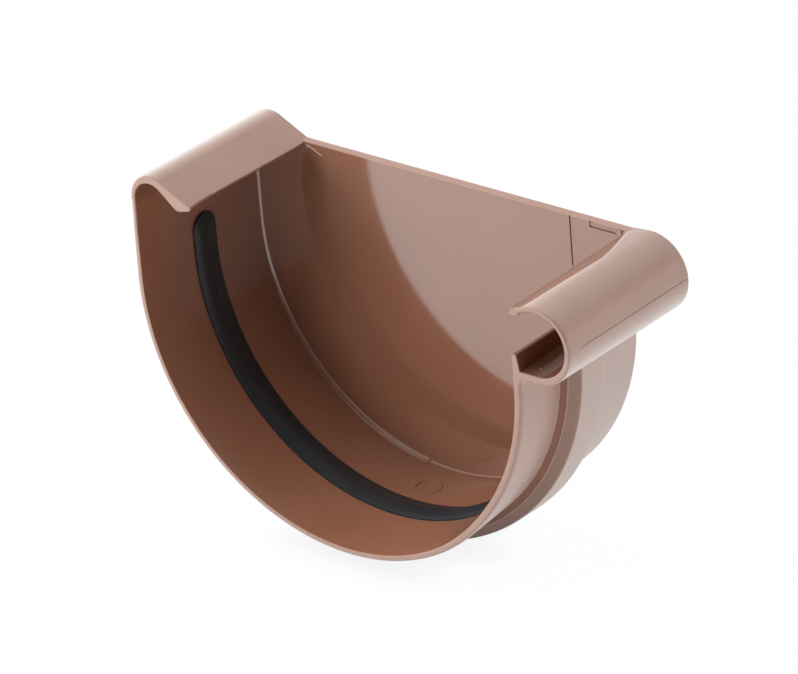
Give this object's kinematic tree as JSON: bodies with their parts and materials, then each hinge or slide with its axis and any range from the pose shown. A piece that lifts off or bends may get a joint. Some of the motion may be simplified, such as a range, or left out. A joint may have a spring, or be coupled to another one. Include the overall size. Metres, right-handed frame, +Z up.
{
  "type": "gutter end cap",
  "caption": "Half-round plastic gutter end cap: a deep moulded socket with a back hook, a hollow round front bead and a rubber seal laid in a bulged band.",
  "frame": {"origin": "centre of the half-round in the plane of the open rim, where the gutter goes in", "axes": "+X across the gutter towards the front bead, +Y along the gutter towards the end plate, +Z up"},
  "size_m": [0.1535, 0.0502, 0.1014],
  "materials": {
    "cap_body": "smooth moulded brown PVC, glossy inside and satin outside",
    "rubber_seal": "soft black rubber"
  },
  "bodies": {
    "root": {"cap_body": "cap_body", "rubber_seal": "rubber_seal"}
  },
  "joints": []
}
